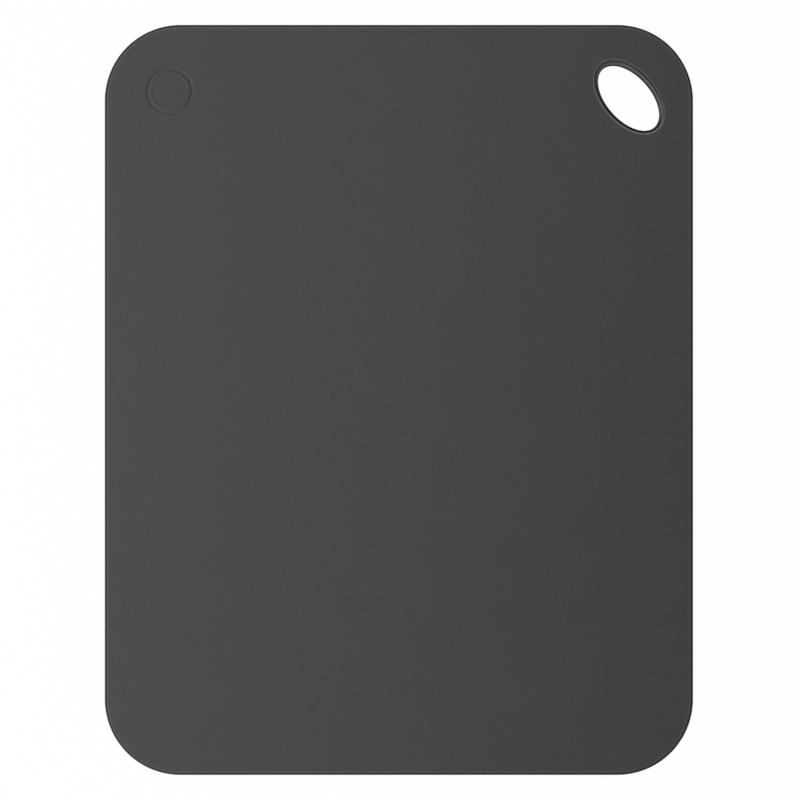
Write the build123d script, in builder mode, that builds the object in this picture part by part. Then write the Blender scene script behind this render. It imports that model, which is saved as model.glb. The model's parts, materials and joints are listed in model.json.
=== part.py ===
from build123d import *
import math
import os

# Flexible cutting mat: one soft sheet with a rolled oval hanging hole in one corner and
# a moulded ring with its gate mark in the other. The sheet lies on the XY plane with the
# cutting face up, +X to the right and +Y towards the edge with the hole. Millimetres.
# The sheet curls up along straight lines that run its length, so it is written as the
# strips between those lines, which meet face to face when the mat lies flat.

# The sheet
mat_width = 279.4
mat_length = 356.2
mat_thickness = 2.6
corner_radius = 36.0
top_edge_radius = 1.25
bottom_edge_radius = 1.0

# The hanging hole, placed from the right and the far edge, its long axis falling to the right
hole_from_side = 30.4
hole_from_end = 34.6
hole_long_radius = 18.4
hole_short_radius = 10.45
hole_slant = 48.4
hole_rim_radius = 2.25

# The moulded ring, placed from the left and the far edge
ring_from_side = 31.15
ring_from_end = 31.75
ring_radius = 10.5
ring_groove_width = 2.7
ring_groove_depth = 0.3
ring_lip_width = 0.6
ring_floor_depth = 0.09
gate_radius = 3.2
gate_rim_width = 1.2
gate_rim_height = 0.08

# The bend lines, the same number on each side of the middle, and how far the part that
# bends stays from the rim of the hole
bends_per_side = 10
bend_to_rim_gap = 1.0

# How far a cutting solid stands proud of the face it cuts
cut_overrun = 1.0


def slanted_reach(long_radius, short_radius, slant):
    """How far an ellipse turned by slant degrees reaches along X from its centre."""
    turn = math.radians(slant)
    return math.hypot(long_radius * math.cos(turn), short_radius * math.sin(turn))


def groove_arc_radius(width, depth):
    """The radius of the arc that is this wide at the surface and this deep in the middle."""
    return ((width / 2) ** 2 + depth**2) / (2 * depth)


# The field that bends ends just inside the rim of the hanging hole, and the same distance
# from the middle on the other side. It is divided evenly, with a bend line in the middle of
# each division, so the hole and the ring lie in panels that stay straight.
hole_x = mat_width / 2 - hole_from_side
hole_y = mat_length / 2 - hole_from_end
rim_reach = slanted_reach(
    hole_long_radius + hole_rim_radius, hole_short_radius + hole_rim_radius, hole_slant
)
bend_field = hole_x - rim_reach - bend_to_rim_gap
bend_pitch = bend_field / bends_per_side
bend_lines = [bend_pitch * (step + 1 / 2) for step in range(bends_per_side)]

ring_x = ring_from_side - mat_width / 2
ring_y = mat_length / 2 - ring_from_end
ring_plane = Plane((ring_x, ring_y, mat_thickness), x_dir=(1, 0, 0), z_dir=(0, -1, 0))
ring_axis = Axis((ring_x, ring_y, 0), (0, 0, 1))
groove_arc = groove_arc_radius(ring_groove_width, ring_groove_depth)
floor_radius = ring_radius - ring_groove_width / 2 - ring_lip_width

# The whole sheet before it is divided
with BuildPart() as sheet:
    with BuildSketch(Plane.XY):
        RectangleRounded(mat_width, mat_length, corner_radius)
    extrude(amount=mat_thickness)
    fillet(sheet.faces().sort_by(Axis.Z)[-1].edges(), radius=top_edge_radius)
    fillet(sheet.faces().sort_by(Axis.Z)[0].edges(), radius=bottom_edge_radius)

    # The oval hole goes right through, and its upper edge is rolled over into a wide soft rim
    with BuildSketch(Plane.XY):
        with Locations((hole_x, hole_y)):
            Ellipse(hole_long_radius, hole_short_radius, rotation=-hole_slant)
    extrude(amount=mat_thickness, mode=Mode.SUBTRACT)
    top_face = sheet.faces().filter_by(Plane.XY).sort_by(Axis.Z)[-1]
    fillet(top_face.inner_wires()[0].edges(), radius=hole_rim_radius)

    # The shallow floor inside the ring, with tapered sides that leave a lip beside the groove
    with BuildSketch(ring_plane):
        with BuildLine():
            Polyline(
                (0, cut_overrun),
                (0, -ring_floor_depth),
                (floor_radius - ring_floor_depth, -ring_floor_depth),
                (floor_radius + cut_overrun, cut_overrun),
                close=True,
            )
        make_face()
    revolve(axis=ring_axis, mode=Mode.SUBTRACT)

    # The round-bottomed groove of the ring
    with BuildSketch(ring_plane):
        with Locations((ring_radius, groove_arc - ring_groove_depth)):
            Circle(groove_arc)
    revolve(axis=ring_axis, mode=Mode.SUBTRACT)

    # The gate mark, a low crater in the middle of the floor
    with BuildSketch(ring_plane):
        with BuildLine():
            gate_foot = Line(
                (gate_radius - gate_rim_width, -ring_floor_depth), (gate_radius, -ring_floor_depth)
            )
            ThreePointArc(
                gate_foot @ 0,
                (gate_radius - gate_rim_width / 2, gate_rim_height - ring_floor_depth),
                gate_foot @ 1,
            )
        make_face()
    revolve(axis=ring_axis)


def make_strip(name, left, right):
    """The stretch of the sheet between two planes across X, written under its own name."""
    with BuildPart() as strip:
        add(sheet.part)
        split(bisect_by=Plane.YZ.offset(left), keep=Keep.TOP)
        split(bisect_by=Plane.YZ.offset(right), keep=Keep.BOTTOM)
    strip.part.label = name
    export_step(strip.part, f"parts/{name}.step")


os.makedirs("parts", exist_ok=True)

make_strip("middle_strip", -bend_lines[0], bend_lines[0])
for number, (inner, outer) in enumerate(zip(bend_lines, bend_lines[1:]), start=1):
    make_strip(f"right_strip_{number}", inner, outer)
    make_strip(f"left_strip_{number}", -outer, -inner)
make_strip("right_hand_panel", bend_lines[-1], mat_width / 2)
make_strip("left_hand_panel", -mat_width / 2, -bend_lines[-1])
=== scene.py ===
import json
import math

import bmesh
import bpy
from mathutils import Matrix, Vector
from mathutils.geometry import delaunay_2d_cdt


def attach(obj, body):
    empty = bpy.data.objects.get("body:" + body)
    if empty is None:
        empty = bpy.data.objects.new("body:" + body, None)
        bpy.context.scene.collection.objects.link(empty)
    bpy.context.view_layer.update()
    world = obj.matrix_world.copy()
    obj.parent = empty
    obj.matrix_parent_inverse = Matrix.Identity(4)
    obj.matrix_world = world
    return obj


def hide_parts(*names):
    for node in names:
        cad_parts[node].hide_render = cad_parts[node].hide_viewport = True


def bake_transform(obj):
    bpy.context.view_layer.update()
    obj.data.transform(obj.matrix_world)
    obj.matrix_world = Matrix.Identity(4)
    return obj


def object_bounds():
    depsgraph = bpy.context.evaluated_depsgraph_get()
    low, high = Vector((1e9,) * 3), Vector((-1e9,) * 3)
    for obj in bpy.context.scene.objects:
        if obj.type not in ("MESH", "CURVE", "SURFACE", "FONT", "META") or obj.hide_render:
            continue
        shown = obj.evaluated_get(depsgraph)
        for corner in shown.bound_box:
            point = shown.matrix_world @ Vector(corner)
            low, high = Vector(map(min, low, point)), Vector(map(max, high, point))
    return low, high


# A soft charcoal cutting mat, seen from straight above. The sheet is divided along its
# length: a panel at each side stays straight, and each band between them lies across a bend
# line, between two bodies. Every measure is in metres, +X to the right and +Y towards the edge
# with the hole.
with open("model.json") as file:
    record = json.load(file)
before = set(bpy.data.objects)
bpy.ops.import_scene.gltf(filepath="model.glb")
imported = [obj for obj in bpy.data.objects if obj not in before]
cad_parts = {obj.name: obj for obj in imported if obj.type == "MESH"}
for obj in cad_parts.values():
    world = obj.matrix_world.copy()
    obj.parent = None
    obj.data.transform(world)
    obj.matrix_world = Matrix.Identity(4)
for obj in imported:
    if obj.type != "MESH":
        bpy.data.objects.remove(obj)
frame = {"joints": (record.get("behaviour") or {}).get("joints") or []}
cad_low, cad_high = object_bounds()

MM = 0.001

# The sheet, whose outer size is the frame's
half_width = cad_high.x
half_length = cad_high.y
thickness = cad_high.z
CORNER_RADIUS = 36 * MM
TOP_EDGE_RADIUS = 1.25 * MM
BOTTOM_EDGE_RADIUS = 1 * MM
# The cutting face falls away a little before it turns over the edge
CROWN_WIDTH = 6 * MM
CROWN_DROP = 0.02 * MM
# A narrow flat strip beside each rounded part keeps the shading of the flat true
FLAT_MARGIN = 0.2 * MM
# The rounded parts are smoother than the grained face, which turns smooth over this width
POLISH_FADE = 0.5 * MM
# A painted highlight on the shoulder of each edge, and painted shade where it turns down. The
# middle and the width of both bands, measured inwards from the edge.
EDGE_HIGHLIGHT_PLACE = 1.5 * MM
EDGE_HIGHLIGHT_WIDTH = 0.8 * MM
EDGE_SHADE_PLACE = 0.9 * MM
EDGE_SHADE_WIDTH = 1.2 * MM
EDGE_HIGHLIGHT = 0.5
EDGE_SHADE = 0.95

# The hanging hole
HOLE_FROM_SIDE = 30.4 * MM
HOLE_FROM_END = 34.6 * MM
HOLE_LONG_RADIUS = 18.4 * MM
HOLE_SHORT_RADIUS = 10.45 * MM
HOLE_SLANT = math.radians(48.4)
HOLE_RIM_RADIUS = 2.25 * MM
HOLE_FOOT_RADIUS = 0.15 * MM
HOLE_APRON = 0.5 * MM
# The rim is widest towards the upper left: its outer end is moved this far against its
# foot, and lies this much further out all round
RIM_LEAN = Vector((-0.3, 0.22)) * MM
RIM_GROWTH = 0.07 * MM
# Painted light on the rim. Its outer end has a painted highlight, most of all on the near side.
# Its foot has painted shade, as has its steep part on the near side. On the far side a line of
# painted shade runs half way, and the wall inside it has a painted highlight, as on the left. A
# larger spread makes a mark shorter.
NEAR_WAY = Vector((0, -1))
FAR_WAY = Vector((0.75, 0.66))
FAR_SPREAD = 5
RIM_HIGHLIGHT = 0.5
RIM_HIGHLIGHT_NEAR = 0.6
RIM_HIGHLIGHT_WIDTH = 1 * MM
RIM_HIGHLIGHT_WIDER = 0.2 * MM
RIM_HIGHLIGHT_SHIFT = 0.1 * MM
NEAR_SHADE = 2.2
NEAR_SHADE_PLACE = 0.75 * MM
NEAR_SHADE_WIDTH = 1.85 * MM
FAR_SHADE = 1.1
FAR_SHADE_PLACE = 1.57 * MM
FAR_SHADE_WIDTH = 1.15 * MM
FOOT_SHADE = 1.3
FOOT_SHADE_WIDTH = 0.95 * MM
FAR_WALL_HIGHLIGHT = 0.27
LEFT_WALL_HIGHLIGHT = 0.25
LEFT_WAY = Vector((-0.9, 0.43))
LEFT_SPREAD = 2
WALL_HIGHLIGHT_PLACE = 1.05 * MM
WALL_HIGHLIGHT_WIDTH = 1.15 * MM

# The moulded ring and the gate mark in its middle
RING_FROM_SIDE = 31.15 * MM
RING_FROM_END = 31.75 * MM
RING_RADIUS = 10.5 * MM
RING_GROOVE_WIDTH = 2.7 * MM
RING_GROOVE_DEPTH = 0.29 * MM
RING_LIP_WIDTH = 0.6 * MM
RING_FLOOR_DEPTH = 0.09 * MM
RING_FLOOR_TAPER = 0.35 * MM
# The groove is a little smoother than the face, and painted shade makes it a little darker
GROOVE_POLISH = 0.3
GROOVE_SHADE = 0.06
GATE_RIM_RADIUS = 2.6 * MM
GATE_RIM_WIDTH = 1.2 * MM
GATE_RIM_HEIGHT = 0.06 * MM
# The gate's rim is highest at this angle and fades out across from it
GATE_HIGH_SIDE = math.radians(-15)
# The stretch of the ring's floor that is finely divided for the gate mark
GATE_SPAN = (3.6 * MM, 1.2 * MM)
# Painted light on the gate mark: a painted glint on its high side with a line of painted shade
# round it, and a faint line of painted shade across from it. A larger spread makes a mark
# shorter.
GATE_GLINT = 0.45
GATE_GLINT_PLACE = 2.35 * MM
GATE_GLINT_WIDTH = 0.9 * MM
GATE_GLINT_SPREAD = 40
GATE_SHADE = 0.45
GATE_SHADE_PLACE = 3 * MM
GATE_SHADE_WIDTH = 0.8 * MM
GATE_SHADE_SPREAD = 24
FAINT_SHADE = 0.2
FAINT_SHADE_SPREAD = 6
FAINT_SHADE_PLACE = 1.8 * MM
FAINT_SHADE_WIDTH = 0.8 * MM

# How finely the round parts are divided
CROWN_STEPS = 6
EDGE_STEPS = 12
CORNER_STEPS = 40
HOLE_STEPS = 192
RIM_STEPS = 18
FOOT_STEPS = 3
APRON_STEPS = 5
RING_STEPS = 144
GROOVE_STEPS = 18
TAPER_STEPS = 6
GATE_STEPS = 24
BAND_STEPS = 2

# What Blender's triangulation takes: fill inside the outlines only, and merge points that
# are closer than this
FILL_INSIDE = 1
MERGE_DISTANCE = 1e-9


def steps(count):
    """Shares from 0 to 1, both included."""
    return [i / count for i in range(count + 1)]


def quarter(count):
    """Angles from 0 to a right angle, both included."""
    return [share * math.pi / 2 for share in steps(count)]


def turn(count):
    """Angles once round, the last one left out because it is the first."""
    return [i * math.tau / count for i in range(count)]


def between(start, end, count):
    """Values from start to end, both included."""
    return [start + (end - start) * share for share in steps(count)]


def edge_section():
    """The mat's edge as (inset, height) points, from the flat face over to the underside."""
    crown = []
    for share in steps(CROWN_STEPS):
        flat_share = (1 - share) ** 2
        inset = TOP_EDGE_RADIUS + (CROWN_WIDTH - TOP_EDGE_RADIUS) * flat_share
        crown.append((inset, thickness - CROWN_DROP * (1 - flat_share) ** 2))
    shoulder = thickness - CROWN_DROP
    top = [
        (TOP_EDGE_RADIUS * (1 - math.sin(a)), shoulder - TOP_EDGE_RADIUS * (1 - math.cos(a)))
        for a in quarter(EDGE_STEPS)[1:]
    ]
    foot = [
        (BOTTOM_EDGE_RADIUS * (1 - math.cos(a)), BOTTOM_EDGE_RADIUS * (1 - math.sin(a)))
        for a in quarter(EDGE_STEPS)
    ]
    return crown + top + foot + [(BOTTOM_EDGE_RADIUS + FLAT_MARGIN, 0)]


def hole_section():
    """The hole's rim as (distance out from the hole, height) points, from the top down."""
    rim = [
        (HOLE_RIM_RADIUS * (1 - math.sin(a)), thickness - HOLE_RIM_RADIUS * (1 - math.cos(a)))
        for a in quarter(RIM_STEPS)
    ]
    foot = [
        (HOLE_FOOT_RADIUS * (1 - math.cos(a)), HOLE_FOOT_RADIUS * (1 - math.sin(a)))
        for a in quarter(FOOT_STEPS)
    ]
    apron_edge = HOLE_RIM_RADIUS + HOLE_APRON
    apron = [(out, thickness) for out in between(apron_edge, HOLE_RIM_RADIUS, APRON_STEPS)]
    bottom = (HOLE_FOOT_RADIUS + FLAT_MARGIN, 0)
    return [*apron[:-1], *rim, *foot, bottom]


def panel_outline(inset):
    """One side of the mat, drawn in by inset, as (across, along) points from the near end of
    the seam round to its far end. Across is the distance from the middle of the mat."""
    radius = CORNER_RADIUS - inset
    corner = [
        (
            half_width - CORNER_RADIUS + radius * math.sin(a),
            half_length - CORNER_RADIUS + radius * math.cos(a),
        )
        for a in quarter(CORNER_STEPS)
    ]
    far = [(panel_seam, half_length - inset), *corner]
    near = [(across, -along) for across, along in far]
    return near + far[::-1]


def slanted(along, across):
    """A vector along and across the hanging hole, turned to its slant."""
    return Vector((
        along * math.cos(HOLE_SLANT) + across * math.sin(HOLE_SLANT),
        across * math.cos(HOLE_SLANT) - along * math.sin(HOLE_SLANT),
    ))


def oval_normals():
    """The directions straight out from the hole at each of its points."""
    normals = []
    for a in turn(HOLE_STEPS):
        normals.append(slanted(HOLE_SHORT_RADIUS * math.cos(a), HOLE_LONG_RADIUS * math.sin(a)))
    return [normal.normalized() for normal in normals]


def oval(distance):
    """The outline of the hanging hole, drawn out by distance, as (x, y) points."""
    middle = Vector((half_width - HOLE_FROM_SIDE, half_length - HOLE_FROM_END))
    outer = min(distance / HOLE_RIM_RADIUS, 1)
    points = []
    for a, normal in zip(turn(HOLE_STEPS), oval_normals()):
        place = slanted(HOLE_LONG_RADIUS * math.cos(a), HOLE_SHORT_RADIUS * math.sin(a))
        drawn = place + normal * (distance + RIM_GROWTH * outer)
        points.append(tuple(middle + drawn + RIM_LEAN * outer))
    return points


def hump(distance, width):
    """A smooth hump that is 1 in its middle and 0 beyond half its width."""
    return math.cos(math.pi * distance / width) ** 2 if abs(distance) < width / 2 else 0


def smooth_step(share):
    """0 below 0, 1 above 1 and smooth between."""
    share = min(max(share, 0), 1)
    return share * share * (3 - 2 * share)


ring_floor_edge = RING_RADIUS - RING_GROOVE_WIDTH / 2 - RING_LIP_WIDTH


def ring_height(radius, angle):
    """How high the face stands at this distance and angle from the middle of the ring."""
    groove = RING_GROOVE_DEPTH * hump(radius - RING_RADIUS, RING_GROOVE_WIDTH)
    taper = (ring_floor_edge - radius) / RING_FLOOR_TAPER
    sunk = RING_FLOOR_DEPTH * smooth_step(taper)
    raised = (1 + math.cos(angle - GATE_HIGH_SIDE)) / 2
    gate = GATE_RIM_HEIGHT * raised * hump(radius - GATE_RIM_RADIUS, GATE_RIM_WIDTH)
    return thickness - groove - sunk + gate


def ring_painted_light(radius, angle):
    """How much highlight or shade is painted on the groove and the gate mark at this distance
    and angle from the middle of the ring."""
    groove = GROOVE_SHADE * hump(radius - RING_RADIUS, RING_GROOVE_WIDTH)
    high = (1 + math.cos(angle - GATE_HIGH_SIDE)) / 2
    glint = GATE_GLINT * high**GATE_GLINT_SPREAD * hump(radius - GATE_GLINT_PLACE, GATE_GLINT_WIDTH)
    shade_line = GATE_SHADE * high**GATE_SHADE_SPREAD * hump(radius - GATE_SHADE_PLACE, GATE_SHADE_WIDTH)
    faint_shade = FAINT_SHADE * (1 - high) ** FAINT_SHADE_SPREAD * hump(radius - FAINT_SHADE_PLACE, FAINT_SHADE_WIDTH)
    return glint - shade_line - faint_shade - groove


def add_object(name, data):
    """An object with this data, in the scene."""
    added = bpy.data.objects.new(name, data)
    bpy.context.scene.collection.objects.link(added)
    return added


class Shell:
    """The points and faces of one closed piece."""

    def __init__(self):
        self.points = []
        self.polish = []
        self.painted_light = []
        self.faces = []
        self.under = []
        self.sharp = []

    def loop(self, points, polish, painted_light):
        """Adds points, each with its polish and its painted light, and returns their numbers.
        Polish is 1 where the mat is smooth. Painted light is above 0 where a highlight is
        painted and below 0 where shade is painted."""
        first = len(self.points)
        self.points += points
        self.polish += polish
        self.painted_light += painted_light
        return list(range(first, len(self.points)))

    def bridge(self, a, b, closed):
        """Joins two rows of as many points by quads."""
        last = len(a) if closed else len(a) - 1
        for i in range(last):
            j = (i + 1) % len(a)
            self.faces.append((a[i], a[j], b[j], b[i]))

    def cap(self, outline, holes, under=False):
        """Fills a flat outline round its holes with triangles."""
        rows = [outline, *holes]
        numbers = [n for row in rows for n in row]
        place = {n: i for i, n in enumerate(numbers)}
        flat = [Vector(self.points[n][:2]) for n in numbers]
        edges = [(place[a], place[b]) for row in rows for a, b in zip(row, row[1:] + row[:1])]
        filled = delaunay_2d_cdt(flat, edges, [], FILL_INSIDE, MERGE_DISTANCE)
        sources = [numbers[found[0]] for found in filled[3]]
        for triangle in filled[2]:
            corners = [sources[i] for i in triangle]
            if not any(set(corners) <= set(row) for row in holes):
                if under:
                    self.under.append(len(self.faces))
                self.faces.append(tuple(corners))

    def seam(self, row):
        """Closes the piece with one flat face where it meets the next piece."""
        self.sharp.append(len(self.faces))
        self.faces.append(tuple(row))

    def build(self, name, materials):
        """Makes the object, with every face turned outwards."""
        mesh = bpy.data.meshes.new(name)
        work = bmesh.new()
        verts = [work.verts.new(p) for p in self.points]
        for number, corners in enumerate(self.faces):
            face = work.faces.new([verts[n] for n in corners])
            face.smooth = True
            face.material_index = int(number in set(self.under))
            if number in self.sharp:
                for edge in face.edges:
                    edge.smooth = False
        bmesh.ops.recalc_face_normals(work, faces=work.faces)
        work.to_mesh(mesh)
        work.free()
        rest = mesh.attributes.new("rest_place", "FLOAT_VECTOR", "POINT")
        rest.data.foreach_set("vector", [c for p in self.points for c in p])
        for label, values in (("polish", self.polish), ("painted_light", self.painted_light)):
            layer = mesh.attributes.new(label, "FLOAT", "POINT")
            layer.data.foreach_set("value", values)
        for material in materials:
            mesh.materials.append(material)
        piece = add_object(name, mesh)
        return piece


def edge_polish(inset):
    """1 on the rounded edge and 0 on the grained face."""
    return 1 - smooth_step((inset - TOP_EDGE_RADIUS) / POLISH_FADE)


def edge_painted_light(inset, height):
    """A painted highlight on the shoulder of the cutting face and painted shade on the turned
    edge.
    """
    if height < BOTTOM_EDGE_RADIUS:
        return 0
    painted_highlight = EDGE_HIGHLIGHT * hump(inset - EDGE_HIGHLIGHT_PLACE, EDGE_HIGHLIGHT_WIDTH)
    return painted_highlight - EDGE_SHADE * hump(inset - EDGE_SHADE_PLACE, EDGE_SHADE_WIDTH)


def band_shell(side, inner, outer):
    """The stretch of the sheet between two distances from the middle, with a row of points
    on the bend line half way."""
    shell = Shell()
    section = edge_section()
    polish = [edge_polish(inset) for inset, height in section]
    painted_light = [edge_painted_light(inset, height) for inset, height in section]
    rows = []
    for across in between(inner, outer, BAND_STEPS):
        x = side * across
        far = [(x, half_length - inset, height) for inset, height in section]
        near = [(x, -along, height) for x, along, height in far[::-1]]
        rows.append(shell.loop(far + near, polish + polish[::-1], painted_light + painted_light[::-1]))
    for a, b in zip(rows, rows[1:]):
        shell.under.append(len(shell.faces) + len(section) - 1)
        shell.bridge(a, b, closed=True)
    shell.seam(rows[0])
    shell.seam(rows[-1])
    return shell


def panel_shell(side, openings):
    """A hand panel. Openings adds what breaks its faces, and returns the loops that bound
    it on the cutting face and on the underside."""
    shell = Shell()
    rows = []
    for inset, height in edge_section():
        outline = [(side * across, along, height) for across, along in panel_outline(inset)]
        polish = [edge_polish(inset)] * len(outline)
        painted_light = [edge_painted_light(inset, height)] * len(outline)
        rows.append(shell.loop(outline, polish, painted_light))
    for a, b in zip(rows, rows[1:]):
        shell.bridge(a, b, closed=False)
    above, below = openings(shell)
    shell.cap(rows[0], above)
    shell.cap(rows[-1], below, under=True)
    shell.seam([row[0] for row in rows] + [row[-1] for row in rows[::-1]])
    return shell


def rim_painted_light(distance, outward):
    """How much highlight or shade is painted on the rim at this distance out from the hole, on
    this side of it.
    """
    near = max(outward.dot(NEAR_WAY), 0)
    lit = max(outward.dot(FAR_WAY), 0)
    far = lit**FAR_SPREAD
    highlight_place = HOLE_RIM_RADIUS - RIM_HIGHLIGHT_SHIFT * near
    highlight_width = RIM_HIGHLIGHT_WIDTH + RIM_HIGHLIGHT_WIDER * near
    painted_highlight = (RIM_HIGHLIGHT + RIM_HIGHLIGHT_NEAR * near) * hump(distance - highlight_place, highlight_width)
    wall = FAR_WALL_HIGHLIGHT * lit + LEFT_WALL_HIGHLIGHT * max(outward.dot(LEFT_WAY), 0) ** LEFT_SPREAD
    painted_highlight += wall * hump(distance - WALL_HIGHLIGHT_PLACE, WALL_HIGHLIGHT_WIDTH)
    painted_shade = near * NEAR_SHADE * hump(distance - NEAR_SHADE_PLACE, NEAR_SHADE_WIDTH)
    painted_shade += far * FAR_SHADE * hump(distance - FAR_SHADE_PLACE, FAR_SHADE_WIDTH)
    painted_shade += FOOT_SHADE * hump(distance, FOOT_SHADE_WIDTH)
    return painted_highlight - painted_shade


def hanging_hole(shell):
    """The oval hole with its rolled rim."""
    rows = []
    for distance, height in hole_section():
        outline = [(x, y, height) for x, y in oval(distance)]
        polish = [smooth_step((HOLE_RIM_RADIUS - distance) / POLISH_FADE)] * HOLE_STEPS
        painted_light = [rim_painted_light(distance, outward) for outward in oval_normals()]
        rows.append(shell.loop(outline, polish, painted_light))
    for a, b in zip(rows, rows[1:]):
        shell.bridge(a, b, closed=True)
    return [rows[0]], [rows[-1]]


def moulded_ring(shell):
    """The ring groove, the sunk floor inside it and the crater that the gate left."""
    centre = Vector((RING_FROM_SIDE - half_width, half_length - RING_FROM_END))
    groove_outside = RING_RADIUS + RING_GROOVE_WIDTH / 2
    groove_inside = RING_RADIUS - RING_GROOVE_WIDTH / 2
    floor_start = ring_floor_edge - RING_FLOOR_TAPER
    radii = [
        groove_outside + FLAT_MARGIN,
        *between(groove_outside, groove_inside, GROOVE_STEPS),
        *between(ring_floor_edge, floor_start, TAPER_STEPS),
        floor_start - FLAT_MARGIN,
        *between(*GATE_SPAN, GATE_STEPS),
    ]
    rows = []
    for radius in radii:
        ring = []
        for angle in turn(RING_STEPS):
            x = centre.x + radius * math.cos(angle)
            y = centre.y + radius * math.sin(angle)
            ring.append((x, y, ring_height(radius, angle)))
        in_groove = hump(radius - RING_RADIUS, RING_GROOVE_WIDTH)
        polish = [GROOVE_POLISH * in_groove] * RING_STEPS
        painted_light = [ring_painted_light(radius, angle) for angle in turn(RING_STEPS)]
        rows.append(shell.loop(ring, polish, painted_light))
    for a, b in zip(rows, rows[1:]):
        shell.bridge(a, b, closed=True)
    shell.cap(rows[-1], [])
    return [rows[0]], []


# Materials

def nodes_of(owner):
    """An empty node tree for a material or the world."""
    owner.use_nodes = True
    owner.node_tree.nodes.clear()
    return owner.node_tree


def show(tree, look, output="ShaderNodeOutputMaterial"):
    """Makes this shader the look of the whole tree."""
    tree.links.new(look, tree.nodes.new(output).inputs["Surface"])


def number(tree, operation, a, b=None, c=None, clamp=False):
    """A Math node on sockets or plain numbers."""
    node = tree.nodes.new("ShaderNodeMath")
    node.operation = operation
    node.use_clamp = clamp
    for socket, value in zip(node.inputs, (a, b, c)):
        if isinstance(value, bpy.types.NodeSocket):
            tree.links.new(value, socket)
        elif value is not None:
            socket.default_value = value
    return node.outputs[0]


def read_attribute(tree, name, output):
    """What the mesh holds under this name."""
    node = tree.nodes.new("ShaderNodeAttribute")
    node.attribute_name = name
    return node.outputs[output]


def noise(tree, place, size, detail):
    """Noise from 0 to 1 whose blotches are about size across."""
    node = tree.nodes.new("ShaderNodeTexNoise")
    node.inputs["Scale"].default_value = 1 / size
    node.inputs["Detail"].default_value = detail
    tree.links.new(place, node.inputs["Vector"])
    return node.outputs["Fac"]


def remap(tree, value, low, high, start=0.0, end=1.0, smooth=False):
    """The value moved from the range start to end into the range low to high."""
    node = tree.nodes.new("ShaderNodeMapRange")
    if smooth:
        node.interpolation_type = "SMOOTHSTEP"
    tree.links.new(value, node.inputs["Value"])
    node.inputs["From Min"].default_value = start
    node.inputs["From Max"].default_value = end
    node.inputs["To Min"].default_value = low
    node.inputs["To Max"].default_value = high
    return node.outputs["Result"]


def blend_colours(tree, share, a, b):
    """Colour a where the share is 0 and b where it is 1."""
    node = tree.nodes.new("ShaderNodeMix")
    node.data_type = "RGBA"
    tree.links.new(share, node.inputs["Factor"])
    for socket, value in ((node.inputs["A"], a), (node.inputs["B"], b)):
        if isinstance(value, bpy.types.NodeSocket):
            tree.links.new(value, socket)
        else:
            socket.default_value = value
    return node.outputs["Result"]


def bump(tree, height, distance, strength, under=None):
    """A Bump node, on top of another one if there is one."""
    node = tree.nodes.new("ShaderNodeBump")
    node.inputs["Distance"].default_value = distance
    node.inputs["Strength"].default_value = strength
    tree.links.new(height, node.inputs["Height"])
    if under is not None:
        tree.links.new(under, node.inputs["Normal"])
    return node.outputs["Normal"]


# The mat's colours: the two that the fine specks of the face run between, what its painted
# highlights and its painted shade turn to, and the two of the underside
CHARCOAL = (0.0475, 0.0475, 0.0477, 1)
CHARCOAL_DARK = (0.0308, 0.0308, 0.0310, 1)
CHARCOAL_HIGHLIGHT = (0.1500, 0.1500, 0.1515, 1)
CHARCOAL_SHADE = (0.0070, 0.0070, 0.0072, 1)
UNDER_CHARCOAL = (0.0360, 0.0360, 0.0362, 1)
UNDER_CHARCOAL_DARK = (0.0320, 0.0320, 0.0322, 1)
# How much of the face's roughness the smooth parts lose
POLISH_SHARE = 0.72
PLASTIC_IOR = 1.5
# The strength of the shine on the plain face and where painted shade is darkest
PLAIN_SHINE = 0.5
PAINTED_SHADE_SHINE = 0.05
# The sizes of the patterns, the detail of their noise and the range that it mostly keeps to
MOTTLE_SIZE = 22 * MM
RIPPLE_SIZE = 6 * MM
SPECK_SIZE = 0.7 * MM
GRAIN_SIZE = 0.32 * MM
PLAIN_DETAIL = 2.0
RICH_DETAIL = 3.0
NOISE_RANGE = (0.3, 0.7)
# How much of the face's shade is mottling. The specks have the rest.
MOTTLE_SHARE = 0.15
FACE_ROUGHNESS = (0.522, 0.538)
# The depth and the strength of each bump
RIPPLE_BUMP = (0.02 * MM, 0.15)
GRAIN_BUMP = (0.01 * MM, 0.25)
# The underside
PEBBLE_SIZE = 1.1 * MM
PEBBLE_SMOOTHNESS = 0.6
PEBBLE_BUMP = (0.12 * MM, 0.6)
UNDER_GRAIN_SIZE = 0.3 * MM
UNDER_GRAIN_BUMP = (0.01 * MM, 0.2)
UNDER_ROUGHNESS = (0.5, 0.58)


def plastic(name):
    """A material with a plain plastic shader. Returns it with its tree, its shader and the
    place of each point on the flat mat, which stays the same when the mat bends."""
    material = bpy.data.materials.new(name)
    tree = nodes_of(material)
    shader = tree.nodes.new("ShaderNodeBsdfPrincipled")
    shader.inputs["IOR"].default_value = PLASTIC_IOR
    show(tree, shader.outputs["BSDF"])
    return material, tree, shader, read_attribute(tree, "rest_place", "Vector")


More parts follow.
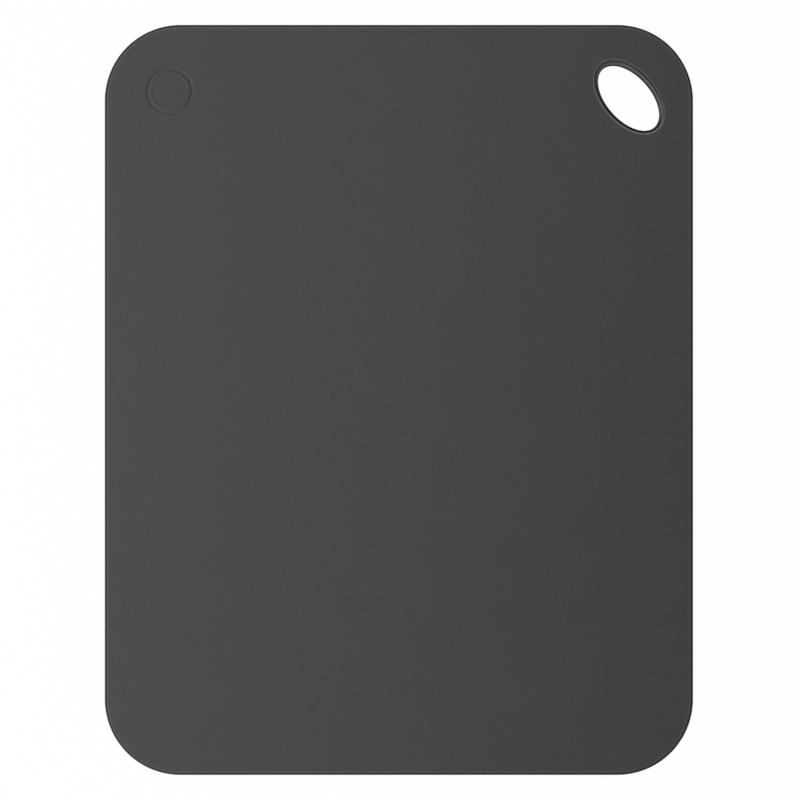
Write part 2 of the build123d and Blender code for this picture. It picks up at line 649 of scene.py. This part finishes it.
def cutting_face_plastic():
    """Fine matte grain with a trace of mottling. Painted highlights turn it paler and painted
    shade darker, and the polish makes it smoother."""
    material, tree, shader, place = plastic("cutting_face_plastic")
    mottle = noise(tree, place, MOTTLE_SIZE, RICH_DETAIL)
    ripple = noise(tree, place, RIPPLE_SIZE, PLAIN_DETAIL)
    speck = noise(tree, place, SPECK_SIZE, PLAIN_DETAIL)
    grain = noise(tree, place, GRAIN_SIZE, RICH_DETAIL)

    mottle_part = number(tree, "MULTIPLY", mottle, MOTTLE_SHARE)
    speck_part = number(tree, "MULTIPLY", speck, 1 - MOTTLE_SHARE)
    shade = remap(tree, number(tree, "ADD", mottle_part, speck_part), 0, 1, *NOISE_RANGE)
    # Painted light: painted highlights blend towards the pale charcoal, and painted shade
    # towards the deep one, where it also dulls the shine.
    painted_light = read_attribute(tree, "painted_light", "Fac")
    painted_highlight = number(tree, "MAXIMUM", painted_light, 0)
    painted_shade = number(tree, "MULTIPLY", painted_light, -1, clamp=True)
    colour = blend_colours(tree, shade, CHARCOAL_DARK, CHARCOAL)
    colour = blend_colours(tree, painted_highlight, colour, CHARCOAL_HIGHLIGHT)
    colour = blend_colours(tree, painted_shade, colour, CHARCOAL_SHADE)
    tree.links.new(colour, shader.inputs["Base Color"])
    shine = remap(tree, painted_shade, PLAIN_SHINE, PAINTED_SHADE_SHINE)
    tree.links.new(shine, shader.inputs["Specular IOR Level"])

    matte = remap(tree, mottle, *FACE_ROUGHNESS, *NOISE_RANGE)
    polish = read_attribute(tree, "polish", "Fac")
    kept = number(tree, "MULTIPLY_ADD", polish, -POLISH_SHARE, 1)
    tree.links.new(number(tree, "MULTIPLY", matte, kept), shader.inputs["Roughness"])
    low = bump(tree, ripple, *RIPPLE_BUMP)
    tree.links.new(bump(tree, grain, *GRAIN_BUMP, low), shader.inputs["Normal"])
    return material


def underside_plastic():
    """The grip grain of the side that lies on the worktop: small pebbles close together."""
    material, tree, shader, place = plastic("underside_plastic")
    mottle = noise(tree, place, MOTTLE_SIZE, RICH_DETAIL)
    shade = remap(tree, mottle, 0, 1, *NOISE_RANGE)
    colour = blend_colours(tree, shade, UNDER_CHARCOAL_DARK, UNDER_CHARCOAL)
    tree.links.new(colour, shader.inputs["Base Color"])
    matte = remap(tree, mottle, *UNDER_ROUGHNESS, *NOISE_RANGE)
    tree.links.new(matte, shader.inputs["Roughness"])

    pebbles = tree.nodes.new("ShaderNodeTexVoronoi")
    pebbles.feature = "SMOOTH_F1"
    pebbles.inputs["Scale"].default_value = 1 / PEBBLE_SIZE
    pebbles.inputs["Smoothness"].default_value = PEBBLE_SMOOTHNESS
    tree.links.new(place, pebbles.inputs["Vector"])
    raised = remap(tree, pebbles.outputs["Distance"], 1, 0)
    fine = noise(tree, place, UNDER_GRAIN_SIZE, PLAIN_DETAIL)
    grain = bump(tree, fine, *UNDER_GRAIN_BUMP)
    tree.links.new(bump(tree, raised, *PEBBLE_BUMP, grain), shader.inputs["Normal"])
    return material


finish = [cutting_face_plastic(), underside_plastic()]

# The pieces. The bend lines are the joints' own, evenly spaced from the middle outwards.

SIDES = {"right": 1, "left": -1}
bend_lines = sorted(j["pos_m"][0] for j in frame["joints"] if j["name"].startswith("right"))
bend_pitch = bend_lines[1] - bend_lines[0]
panel_seam = bend_lines[-1] + bend_pitch / 2

for side_name, side in SIDES.items():
    bodies = ["middle_strip"]
    bodies += [f"{side_name}_strip_{k}" for k in range(1, len(bend_lines))]
    bodies += [f"{side_name}_hand_panel"]
    for k, (inner_body, outer_body) in enumerate(zip(bodies, bodies[1:])):
        inner, outer = bend_pitch * k, bend_pitch * (k + 1)
        band = band_shell(side, inner, outer).build(f"{side_name}_band_{k + 1}", finish)
        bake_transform(band)
        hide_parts(inner_body, outer_body)
    openings = hanging_hole if side_name == "right" else moulded_ring
    panel = panel_shell(side, openings).build(f"{side_name}_panel", finish)
    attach(panel, bodies[-1])
    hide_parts(bodies[-1])

# The studio

WHITE = (1, 1, 1, 1)
BLACK = (0, 0, 0, 1)
FLOOR_SIZE = 6.0
FLOOR_COLOUR = (0.86, 0.86, 0.87, 1)
# How much of the floor's look is plain white, and the distances over which it grows to all
FLOOR_GLOW = 0.975
FLOOR_FADE = (0.4, 1.6)
TENT_RADIUS = 2.5
TENT_SUBDIVISIONS = 4
SHADE_RADIUS = 30 * MM
SHADE_SEGMENTS = 48


def background_rays(tree):
    """1 for a ray that shows the background as it is: a camera, glossy or glass ray."""
    path = tree.nodes.new("ShaderNodeLightPath")
    seen = number(tree, "MAXIMUM", path.outputs["Is Camera Ray"], path.outputs["Is Glossy Ray"])
    return number(tree, "MAXIMUM", seen, path.outputs["Is Transmission Ray"])


def from_origin(tree, operation):
    """A vector node on the place of each point, seen from the middle of the underside."""
    node = tree.nodes.new("ShaderNodeVectorMath")
    node.operation = operation
    tree.links.new(tree.nodes.new("ShaderNodeNewGeometry").outputs["Position"], node.inputs[0])
    return node


def make_floor():
    """A plain pale floor. It shows nearly white, and keeps a trace of the mat's shadow."""
    bpy.ops.mesh.primitive_plane_add(size=FLOOR_SIZE, location=(0, 0, cad_low.z))
    floor = bpy.context.object
    floor.name = "floor"
    material = bpy.data.materials.new("floor_white")
    tree = nodes_of(material)
    matte = tree.nodes.new("ShaderNodeBsdfDiffuse")
    matte.inputs["Color"].default_value = FLOOR_COLOUR
    glow = tree.nodes.new("ShaderNodeEmission")
    glow.inputs["Color"].default_value = WHITE
    away = from_origin(tree, "LENGTH").outputs["Value"]
    share = remap(tree, away, FLOOR_GLOW, 1, *FLOOR_FADE, smooth=True)
    mix = tree.nodes.new("ShaderNodeMixShader")
    tree.links.new(number(tree, "MULTIPLY", background_rays(tree), share), mix.inputs["Fac"])
    tree.links.new(matte.outputs["BSDF"], mix.inputs[1])
    tree.links.new(glow.outputs["Emission"], mix.inputs[2])
    show(tree, mix.outputs["Shader"])
    floor.data.materials.append(material)


# The tent's light, by the direction of each of its points. Overhead it leans from a bright
# left to a dim right and falls off a little towards both ends of the mat, and a brighter
# patch lies beyond the hole. Near the floor it is a cooler white, and bright only on the
# left and in front. Ranges are the least and the most of a level. Angles are measured from
# straight up, or from the middle of the patch, and the light fades between them.
TENT_LEVEL = 1.015
TENT_LEAN = (-3.05, 0.3)
TENT_FALL = 2.9
TENT_FALL_MOST = 0.26
TENT_RANGE = (0.05, 1.8)
LOW_LEVEL = 0.9
LOW_LEAN = (-0.35, -0.85)
LOW_RANGE = (0.03, 1.8)
LOW_ANGLES = [math.radians(a) for a in (54, 68)]
PATCH_DIRECTION = (0.22, 0.45, 0.865)
PATCH_ANGLES = [math.radians(a) for a in (8, 18)]
PATCH_LEVEL = 0.8
TENT_COLOUR = (1.022, 1, 0.974, 1)
LOW_COLOUR = (0.9, 0.98, 1.1, 1)


def dot(tree, direction, way):
    """How far a direction points a fixed way, as their dot product."""
    node = tree.nodes.new("ShaderNodeVectorMath")
    node.operation = "DOT_PRODUCT"
    tree.links.new(direction, node.inputs[0])
    node.inputs[1].default_value = way
    return node.outputs["Value"]


def leaning(tree, direction, level, lean, limits):
    """A level that changes evenly along X and Y, kept between the limits."""
    value = number(tree, "ADD", dot(tree, direction, (*lean, 0)), level)
    return number(tree, "MINIMUM", number(tree, "MAXIMUM", value, limits[0]), limits[1])


def by_angle(tree, cosine, angles, inside, outside):
    """One value within the first angle and another beyond the second, smooth between."""
    narrow, wide = [math.cos(a) for a in angles]
    return remap(tree, cosine, outside, inside, wide, narrow, smooth=True)


def ready_made(name, make, **options):
    """An object with one of bmesh's own shapes."""
    mesh = bpy.data.meshes.new(name)
    work = bmesh.new()
    make(work, **options)
    work.to_mesh(mesh)
    work.free()
    return add_object(name, mesh)


def make_tent():
    """A light tent over the mat. The camera looks through it."""
    tent = ready_made(
        "light_tent",
        bmesh.ops.create_icosphere,
        subdivisions=TENT_SUBDIVISIONS,
        radius=TENT_RADIUS,
    )
    material = bpy.data.materials.new("light_tent")
    tree = nodes_of(material)
    direction = from_origin(tree, "NORMALIZE").outputs["Vector"]
    split = tree.nodes.new("ShaderNodeSeparateXYZ")
    tree.links.new(direction, split.inputs["Vector"])

    above = leaning(tree, direction, TENT_LEVEL, TENT_LEAN, TENT_RANGE)
    fall = number(tree, "MULTIPLY", number(tree, "POWER", split.outputs["Y"], 2), TENT_FALL)
    fall = number(tree, "MINIMUM", fall, TENT_FALL_MOST)
    above = number(tree, "MULTIPLY", above, number(tree, "SUBTRACT", 1, fall))
    near_patch = dot(tree, direction, PATCH_DIRECTION)
    patch = by_angle(tree, near_patch, PATCH_ANGLES, PATCH_LEVEL, 0)
    above = number(tree, "ADD", above, patch)

    below = leaning(tree, direction, LOW_LEVEL, LOW_LEAN, LOW_RANGE)
    low = by_angle(tree, split.outputs["Z"], LOW_ANGLES, 0, 1)
    part_above = number(tree, "MULTIPLY", above, number(tree, "SUBTRACT", 1, low))
    part_below = number(tree, "MULTIPLY", below, low)
    glow = tree.nodes.new("ShaderNodeEmission")
    tree.links.new(number(tree, "ADD", part_above, part_below), glow.inputs["Strength"])
    tree.links.new(blend_colours(tree, low, TENT_COLOUR, LOW_COLOUR), glow.inputs["Color"])
    show(tree, glow.outputs["Emission"])
    tent.data.materials.append(material)
    tent.visible_camera = False


def make_camera_shade():
    """The dark front of the camera, which shows only in what the mat reflects."""
    shade = ready_made(
        "camera_shade",
        bmesh.ops.create_circle,
        cap_ends=True,
        segments=SHADE_SEGMENTS,
        radius=SHADE_RADIUS,
    )
    shade.location = bpy.context.scene.camera.location
    material = bpy.data.materials.new("camera_shade")
    tree = nodes_of(material)
    black = tree.nodes.new("ShaderNodeBsdfDiffuse")
    black.inputs["Color"].default_value = BLACK
    show(tree, black.outputs["BSDF"])
    shade.data.materials.append(material)
    shade.visible_camera = False
    shade.visible_diffuse = False
    shade.visible_shadow = False


def make_world():
    """White for the rays that show the background. The tent hides it from all others."""
    world = bpy.data.worlds.new("studio")
    bpy.context.scene.world = world
    tree = nodes_of(world)
    sky = tree.nodes.new("ShaderNodeBackground")
    sky.inputs["Color"].default_value = WHITE
    tree.links.new(background_rays(tree), sky.inputs["Strength"])
    show(tree, sky.outputs["Background"], "ShaderNodeOutputWorld")


# The camera looks straight down, a hair to the right of the mat's middle as in the
# photograph. The picture has this scale at the height where the edge's outline shows. The
# lens and the sensor are in millimetres.
PICTURE_WIDTH = 800
PIXEL = 0.47473 * MM
OUTLINE_HEIGHT = 1.65 * MM
CAMERA_LENS = 53
CAMERA_SENSOR = 36
CAMERA_RIGHT = 0.52 * MM
CAMERA_UP = -0.024 * MM
CLIP_START = 10 * MM


def make_camera():
    """The camera, as far up as makes the mat as large as it is in the photograph."""
    camera = add_object("camera", bpy.data.cameras.new("camera"))
    camera.data.lens = CAMERA_LENS
    camera.data.sensor_width = CAMERA_SENSOR
    distance = PICTURE_WIDTH * PIXEL * CAMERA_LENS / CAMERA_SENSOR
    camera.location = (CAMERA_RIGHT, CAMERA_UP, OUTLINE_HEIGHT + distance)
    camera.data.clip_start = CLIP_START
    bpy.context.scene.camera = camera


make_floor()
make_tent()
make_world()
make_camera()
make_camera_shade()
bpy.context.scene.view_settings.view_transform = "Standard"
